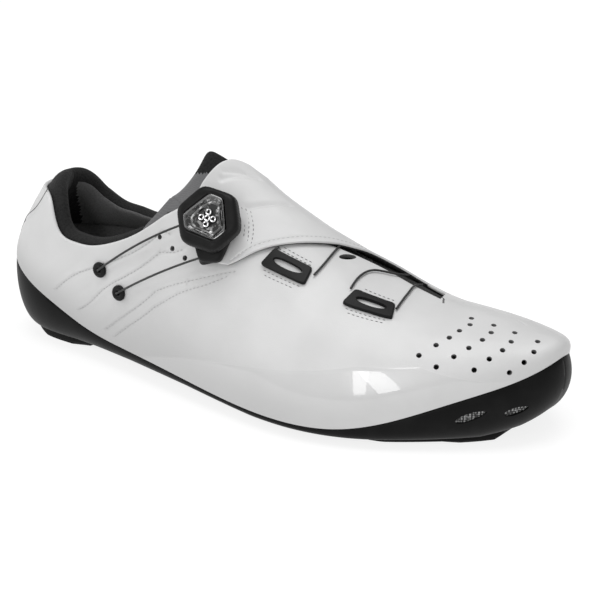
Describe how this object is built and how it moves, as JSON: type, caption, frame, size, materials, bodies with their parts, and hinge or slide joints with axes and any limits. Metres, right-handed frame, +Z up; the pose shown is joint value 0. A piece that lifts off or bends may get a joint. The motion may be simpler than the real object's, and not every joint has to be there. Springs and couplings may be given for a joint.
{
  "type": "cycling shoe",
  "caption": "Low road cycling shoe for the right foot: white wrap-over flap closed by a lace dial, thin stiff black sole with heel and toe pads.",
  "frame": {"origin": "middle of the shoe's floor rectangle, on the plane that its pads stand on", "axes": "+X from heel to toe, +Z up, the outer side of the foot at -Y"},
  "size_m": [0.2766, 0.103, 0.1002],
  "materials": {
    "coated_white": "gloss coated synthetic",
    "black_cloth": "padded matt cloth",
    "satin_composite": "satin",
    "black_rubber": "matt",
    "grey_lining": "matt",
    "black_plastic": "satin",
    "bright_metal": "polished",
    "cable": "coated"
  },
  "bodies": {
    "root": {"upper": "coated_white", "wrap_flap": "coated_white", "tongue": "black_cloth", "collar_padding": "black_cloth", "sole_chassis": "satin_composite", "heel_pad": "black_rubber", "toe_pad": "black_rubber", "insole": "grey_lining", "dial_base": "black_plastic", "dial_knob": "black_plastic", "dial_hub": "bright_metal", "eyelet_upper": "black_plastic", "eyelet_lower": "black_plastic", "guide_rear": "black_plastic", "guide_front": "black_plastic", "wire_upper": "cable", "wire_lower": "cable", "wire_rear_left": "cable", "wire_rear_right": "cable", "wire_front_left": "cable", "wire_front_right": "cable"}
  },
  "joints": []
}
